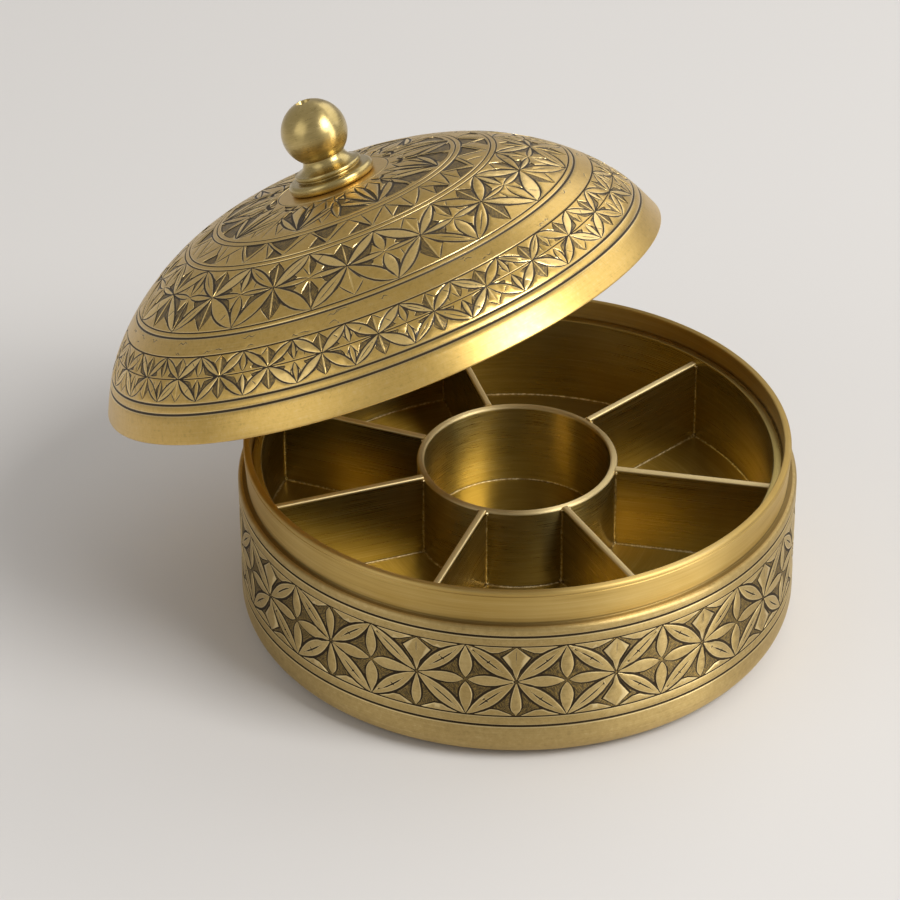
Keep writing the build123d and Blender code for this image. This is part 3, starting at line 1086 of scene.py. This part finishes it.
def plate(number, angle):
    """A partition with its top edge eased, its ends following the cup and the wall."""
    half = PLATE / 2
    outline = softened([
        (half, TRAY_FLOOR, 0), (half, PLATE_TOP, 0.6),
        (-half, PLATE_TOP, 0.6), (-half, TRAY_FLOOR, 0),
    ])
    stations = np.linspace(0, 1, 25)
    points, faces = [], []
    for y, z in outline:
        near = math.sqrt(CUP_RADIUS**2 - y * y)
        far = math.sqrt(TRAY_BORE**2 - y * y)
        points.extend((near + (far - near) * t, y, z) for t in stations)
    count, rows = len(stations), len(outline)
    for row in range(rows):
        low, high = row * count, (row + 1) % rows * count
        faces.extend((low + i, low + i + 1, high + i + 1, high + i) for i in range(count - 1))
    faces.append(tuple(row * count for row in range(rows)))
    faces.append(tuple(row * count + count - 1 for row in reversed(range(rows))))
    home = Matrix.Rotation(math.radians(angle), 4, "Z")
    made = piece(f"partition_{number}", points, faces, plate_finish, home)
    fit(made, "tray", "tray_brass", f"divider_{number}")


for number, angle in enumerate(PLATE_ANGLES, 1):
    plate(number, angle)


# ---------------------------------------------------------------- the solder

# The section of a seam, as shares of its legs along the two walls that it joins
SEAM_SECTION = (
    (-0.12, -0.12), (1, -0.12), (1, 0), (0.5, 0.14), (0.3, 0.3), (0.14, 0.5), (0, 1), (-0.12, 1),
)
SEAM_STEP, SEAM_RISE = 1.4, 1.3
UP = np.array([0.0, 0.0, 1.0])


def seam(corners, first, second, size=0.6):
    """A run of solder along a corner, hollowed between two walls that lie in two directions."""
    corners = np.asarray(corners, float)
    count, sides = len(corners), len(SEAM_SECTION)
    first = np.broadcast_to(first, corners.shape)
    second = np.broadcast_to(second, corners.shape)
    wander = np.convolve(rng.normal(0, 0.3, count + 6), np.ones(7) / 7, "valid")
    legs = size * (1 + wander)
    rows = [corners + (first * a + second * b) * legs[:, None] for a, b in SEAM_SECTION]
    points = np.stack(rows, 1).reshape(-1, 3)
    faces = [tuple(range(sides)), tuple((count - 1) * sides + i for i in reversed(range(sides)))]
    for station in range(count - 1):
        for side in range(sides):
            near, turn = station * sides, (side + 1) % sides
            faces.append((near + side, near + sides + side, near + sides + turn, near + turn))
    return points, faces


def bead(place, size):
    """A lump where the solder has gathered in a corner."""
    rings, turns = 5, 9
    points, faces = [], []
    for rise in np.linspace(-0.5, 0.5, rings + 2)[1:-1] * math.pi:
        wide, high = math.cos(rise), math.sin(rise)
        for turn in np.arange(turns) / turns * TURN:
            spot = np.array((wide * math.cos(turn), wide * math.sin(turn), high))
            points.append(place + spot * size * rng.uniform(0.85, 1.1))
    for ring in range(rings - 1):
        for turn in range(turns):
            low, following = ring * turns, (turn + 1) % turns
            faces.append((low + turn, low + following, low + turns + following, low + turns + turn))
    last = (rings - 1) * turns
    faces.append(tuple(reversed(range(turns))))
    faces.append(tuple(last + turn for turn in range(turns)))
    return np.array(points), faces


def floor_seam(radius, start, end, facing, size=0.6):
    """A seam along the tray's floor, at a radius; facing is 1 outside a ring and -1 inside."""
    angles = np.arange(start, end, SEAM_STEP / radius)
    outward = np.stack([np.cos(angles), np.sin(angles), 0 * angles], 1)
    return seam(outward * radius + UP * TRAY_FLOOR, outward * facing, UP, size)


def plate_seams(angle, turning):
    """The seams along one face of a partition, on the floor, the cup and the wall."""
    along = np.array([math.cos(angle), math.sin(angle), 0])
    across = np.array([-along[1], along[0], 0]) * turning
    side = across * PLATE / 2
    reach = [math.sqrt(radius**2 - PLATE**2 / 4) for radius in (CUP_RADIUS, TRAY_BORE)]
    run = np.arange(*reach, SEAM_STEP)[:, None]
    yield seam(side + along * run + UP * TRAY_FLOOR, across, UP)
    for distance, facing in zip(reach, (1, -1)):
        rise = np.arange(TRAY_FLOOR, CUP_TOP - 0.8, SEAM_RISE)[:, None]
        yield seam(side + along * distance + UP * rise, across, along * facing)
        corner = side + along * distance + (across + along * facing) * 0.3
        for height in (TRAY_FLOOR + 0.4, CUP_TOP - 1.0):
            yield bead(corner + UP * height, rng.uniform(0.6, 0.95))


def solder_runs():
    """Every seam of the tray, compartment by compartment, and the one inside the cup."""
    for angle, following in zip(PLATE_ANGLES, PLATE_ANGLES[1:] + PLATE_ANGLES[:1]):
        ends = math.radians(angle), math.radians(angle + (following - angle) % 360)
        for radius, facing in ((CUP_RADIUS, 1), (TRAY_BORE, -1)):
            half = math.asin(PLATE / 2 / radius)
            yield floor_seam(radius, ends[0] + half, ends[1] - half, facing)
        for end, turning in zip(ends, (1, -1)):
            yield from plate_seams(end, turning)
    yield floor_seam(cup_bore, 0, TURN + 0.04, -1, 0.55)


fit(piece("solder_seams", *joined(solder_runs()), solder_finish), "tray", "tray_brass")


# ---------------------------------------------------------------- the lid's shape

LID_HEIGHT, LID_SHEET, LID_FLAT = 51.6, 1.5, 20
LIP_EDGES = ((106.0, 0.0), (104.64, -0.634))
LIP_ROUND = 0.5
STUD_HOLE = 2.6

# The dome's own frame, from the hinge that holds it open
swing = next(joint for joint in frame["joints"] if joint["name"] == "lid_swing")
line_point = Vector(swing["pos_m"])
open_turn = Matrix.Rotation(-math.radians(swing["range_deg"][1]), 4, Vector(swing["axis"]))
opening = Matrix.Translation(line_point) @ open_turn @ Matrix.Translation(-line_point)
lid_axis = (open_turn @ Vector((0, 0, 1))).normalized()
on_axis = opening @ Vector((0, 0, 0))
dome_points = [vertex.co for vertex in frame["nodes"]["lid_dome"].data.vertices]
crown_height = max(point.dot(lid_axis) for point in dome_points)
lid_foot = on_axis + lid_axis * (crown_height - on_axis.dot(lid_axis) - LID_HEIGHT * MM)
lid_home = Matrix.Translation(lid_foot) @ open_turn.to_3x3().to_4x4()


def dome_sides():
    """The outer and inner curves of the dome, as (radius, height) from the rim up."""
    mesh = frame["nodes"]["lid_dome"].data
    into = lid_home.inverted()
    below = Vector((0, 0, -0.06))
    sides = ({}, {})
    for face in mesh.polygons:
        centre = into @ face.center
        normal = into.to_3x3() @ face.normal
        facing = normal.dot((centre - below).normalized())
        if abs(facing) < 0.5:
            continue
        for corner in face.vertices:
            point = into @ mesh.vertices[corner].co / MM
            radius = math.hypot(point.x, point.y)
            sides[facing < 0][round(radius, 2)] = (radius, point.z)
    return [np.array([side[key] for key in sorted(side, reverse=True)]) for side in sides]


def dome_part(side, lip):
    """The part of a curve between its rounded lip and the flat under the knob."""
    return side[(side[:, 1] > lip) & (side[:, 0] > LID_FLAT)]


def over_grooves(curve):
    """The curve without the points that lie down in its grooves."""
    kept = []
    for point in curve:
        while len(kept) > 1:
            (ax, ay), (bx, by) = kept[-2], kept[-1]
            if (bx - ax) * (point[1] - ay) - (by - ay) * (point[0] - ax) > 0:
                break
            kept.pop()
        kept.append(point)
    return np.array(kept)


def evened(curve, spacing):
    """A curve resampled at an even spacing, rounded through its own points."""
    keep = [0]
    for index in range(1, len(curve)):
        if np.linalg.norm(curve[index] - curve[keep[-1]]) > 0.8:
            keep.append(index)
    curve = curve[keep]
    along = np.concatenate([[0], np.cumsum(np.linalg.norm(np.diff(curve, axis=0), axis=1))])
    pull = np.gradient(curve, along, axis=0, edge_order=2)
    result = []
    for place in np.linspace(0, along[-1], int(along[-1] / spacing) + 1):
        i = min(int(np.searchsorted(along, place, "right")) - 1, len(along) - 2)
        span = along[i + 1] - along[i]
        t = (place - along[i]) / span
        result.append(
            (1 + 2 * t) * (1 - t) ** 2 * curve[i] + t * t * (3 - 2 * t) * curve[i + 1]
            + span * (t * (1 - t) ** 2 * pull[i] - t * t * (1 - t) * pull[i + 1])
        )
    return np.array(result)


outer_side, inner_side = dome_sides()
outer_side = evened(over_grooves(dome_part(outer_side, 0.7)), 1.2)
inner_side = evened(dome_part(inner_side, 0.2), 2.4)


def dome_between(high, low):
    """The dome's outer curve between two radii."""
    ends = [(r, np.interp(-r, -outer_side[:, 0], outer_side[:, 1])) for r in (high, low)]
    between = (outer_side[:, 0] < high - 0.2) & (outer_side[:, 0] > low + 0.2)
    return np.vstack([ends[0], outer_side[between], ends[1]])


# ---------------------------------------------------------------- the lid's bands

# The radii at which the lip and each band of the dome end, and of the edge of its flat top
LIP_END, LOWER_END, UPPER_END, NARROW_END, CROWN_END = 103.2, 86.0, 56.4, 44.2, 20.4
FLAT_EDGE = 19.6

# Radius and width of each line round the dome, band by band
LOWER_LINES = (101.5, 1.5), (99.8, 1.4), (88.7, 0.9)
UPPER_LINES = (83.4, 1.4), (81.8, 0.9), (59.2, 0.9), (57.3, 0.9)
NARROW_LINES = (47.3, 0.9), (45.3, 0.9)
CROWN_LINES = ((20.8, 0.6),)

LOWER_STARS, UPPER_STARS, TRIANGLES, FANS = 29, 16, 21, 9
SCUFFS = 30
STAR_DEPTH = 0.3


def dome_band(high, low, reference, lines, depth):
    """A strip of the dome between two radii, with the lines that run round it."""
    band = Strip(dome_between(high, low), reference)
    for radius, width in lines:
        band.ring(band.at(radius), width, depth)
    return band


lower = dome_band(LIP_END, LOWER_END, 95, LOWER_LINES, 0.4)
lower_low, lower_high = lower.at(99.2), lower.at(88.9)
lower.ring((lower_low + lower_high) / 2, 0.6, 0.3)
stars(lower, lower_low, lower_high, LOWER_STARS, simple_compass, 0.95, STAR_DEPTH, 0.18)
scuffs(lower, lower.at(88.0), lower.at(86.6), SCUFFS)

upper = dome_band(LOWER_END, UPPER_END, 71, UPPER_LINES, 0.36)
stars(upper, upper.at(81.5), upper.at(59.5), UPPER_STARS, compass, 1.2, STAR_DEPTH, -0.09)
scuffs(upper, upper.at(85.6), upper.at(84.2), SCUFFS)

narrow = dome_band(UPPER_END, NARROW_END, 51, NARROW_LINES, 0.32)
zigzag(narrow, narrow.at(57.0), narrow.at(47.5), TRIANGLES)

crown = dome_band(NARROW_END, CROWN_END, 34, CROWN_LINES, 0.3)
fans(crown, crown.at(45.0), crown.at(21.2), FANS)

lip = softened([
    (*inner_side[0], 0), (*LIP_EDGES[1], LIP_ROUND), (*LIP_EDGES[0], LIP_ROUND),
    (*outer_side[0], 0),
])
lip = np.vstack([inner_side[::-1], lip[1:-1], dome_between(outer_side[0][0], LIP_END)])
hole = [(STUD_HOLE, LID_HEIGHT), (STUD_HOLE, LID_HEIGHT - LID_SHEET)]
top = [dome_between(NARROW_END, CROWN_END)[-1], (FLAT_EDGE, LID_HEIGHT), hole[0]]
lid = assembled("lid_dome_skin", [
    turned(np.vstack([hole, lip]), False), lower.raised(), upper.raised(), narrow.raised(),
    crown.raised(), turned(top, False),
], lid_finish, lid_home)
fit(lid, "lid", "engraved_brass", "lid_dome")


# ---------------------------------------------------------------- the knob

FLANGE, FLANGE_TOP = 15.7, LID_HEIGHT + 3.8
WAIST_OF_FOOT, STEP, STEP_FOOT, FOOT_TOP = 11.2, 12.3, FLANGE_TOP + 0.6, FLANGE_TOP + 2.5
BALL, WAIST, NECK_FOOT, NECK_HEIGHT = 11.9, 7.8, 11.2, 3.9
EYE, EYE_DEPTH = 2.9, 1.4
KNOB_AROUND = 120

foot = spun("knob_foot", [
    (STUD_HOLE, LID_HEIGHT, 0), (FLANGE, LID_HEIGHT, 1.5), (FLANGE, FLANGE_TOP, 1.6),
    (WAIST_OF_FOOT, FLANGE_TOP, 0.25), (WAIST_OF_FOOT, STEP_FOOT, 0.2), (STEP, STEP_FOOT, 0.8),
    (STEP, FOOT_TOP, 0.8), (STUD_HOLE, FOOT_TOP, 0),
], knob_finish, 8, KNOB_AROUND, lid_home)
fit(foot, "lid", "plain_brass", "knob_base")

ball_height = FOOT_TOP + NECK_HEIGHT + math.sqrt(BALL**2 - WAIST**2)
ball_angles = np.linspace(-math.acos(WAIST / BALL), math.acos(EYE / BALL) - 0.02, 44)
ball_curve = [(BALL * math.cos(a), ball_height + BALL * math.sin(a)) for a in ball_angles]
neck_turns = np.linspace(math.radians(20), math.radians(90), 14)
flare = np.stack([1 - np.sin(neck_turns), 1 - np.cos(neck_turns)], 1)
flare = (flare - flare[-1]) / (flare[0] - flare[-1])
neck_radii = WAIST + (NECK_FOOT - WAIST) * flare[:, 0]
neck_curve = np.stack([neck_radii, FOOT_TOP + NECK_HEIGHT * (1 - flare[:, 1])], 1)
eye_top = ball_curve[-1][1]
eye = softened([
    (EYE + 0.35, eye_top - 0.05, 0.15), (EYE - 0.15, eye_top + 0.12, 0.2),
    (EYE - 0.5, eye_top - EYE_DEPTH, 0.1), (STUD_HOLE - 0.3, eye_top - EYE_DEPTH, 0),
], 3)
ball_outline = np.vstack([[(STUD_HOLE, FOOT_TOP)], neck_curve[:-1], ball_curve, eye[1:]])
ball = piece("knob_ball_skin", *turned(ball_outline, around=KNOB_AROUND), knob_finish, lid_home)
fit(ball, "lid", "plain_brass", "knob_ball")

# These pieces keep the shapes that they have, and only take a finish
for name, finish in {
    "tray_floor": floor_finish, "tray_ledge": ledge_finish, "knob_stud": plain_finish,
    "knob_washer": plain_finish, "knob_nut": plain_finish,
}.items():
    frame["nodes"][name].data.materials.clear()
    frame["nodes"][name].data.materials.append(finish.material)


# ---------------------------------------------------------------- the setting

FLOOR_REACH = 12.0
FLOOR_COLOUR = (0.64, 0.62, 0.597)
SKY_COLOUR, SKY_STRENGTH = (0.80, 0.78, 0.76, 1), 0.525

floor_corners = [
    (x * FLOOR_REACH, y * FLOOR_REACH, 0) for x, y in ((-1, -1), (1, -1), (1, 1), (-1, 1))
]
floor_mesh = bpy.data.meshes.new("floor")
floor_mesh.from_pydata(floor_corners, [], [(0, 1, 2, 3)])
floor_mesh.materials.append(Finish("pale_floor", Base_Color=FLOOR_COLOUR, Roughness=0.9).material)
floor = bpy.data.objects.new("floor", floor_mesh)
bpy.context.scene.collection.objects.link(floor)
floor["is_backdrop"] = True

world = bpy.data.worlds.new("studio")
bpy.context.scene.world = world
world.use_nodes = True
sky = world.node_tree.nodes["Background"]
sky.inputs["Color"].default_value = SKY_COLOUR
sky.inputs["Strength"].default_value = SKY_STRENGTH


AIM = Vector((0, 0, 0.06))


def lamp(name, place, width, height, power):
    """A soft box at a place, facing the object."""
    light = bpy.data.lights.new(name, "AREA")
    light.shape = "RECTANGLE"
    light.size, light.size_y, light.energy = width, height, power
    made = bpy.data.objects.new(name, light)
    facing = (AIM - Vector(place)).to_track_quat("-Z", "Y")
    made.matrix_world = Matrix.LocRotScale(Vector(place), facing, None)
    bpy.context.scene.collection.objects.link(made)


lamp("key", (1.62, -0.92, 2.05), 1.3, 1.3, 58)
lamp("side_strip", (1.62, -0.58, 0.42), 0.5, 1.1, 7)
lamp("back", (1.1, 1.1, 1.2), 2.4, 1.2, 11)
lamp("fill", (-1.3, -0.9, 0.9), 1.2, 1.2, 4)

CAMERA_PLACE = (0, -1.208576, 0.860564)
CAMERA_AXES = (
    (0.99985281, 0.01597258, -0.00626308),
    (-0.00355781, 0.55015016, 0.83505817),
    (0.01678367, -0.83491297, 0.55012602),
)
camera_data = bpy.data.cameras.new("camera")
camera_data.sensor_width = 36
camera_data.lens = 160
camera = bpy.data.objects.new("camera", camera_data)
camera_turn = Matrix(CAMERA_AXES).transposed().to_4x4()
camera.matrix_world = Matrix.Translation(Vector(CAMERA_PLACE)) @ camera_turn
bpy.context.scene.collection.objects.link(camera)
bpy.context.scene.camera = camera
bpy.context.scene.view_settings.view_transform = "Standard"

dressed_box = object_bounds()
boxes = {"cad": cad_box, "visual": dressed_box}
{name: [list(corner) for corner in box] for name, box in boxes.items()}
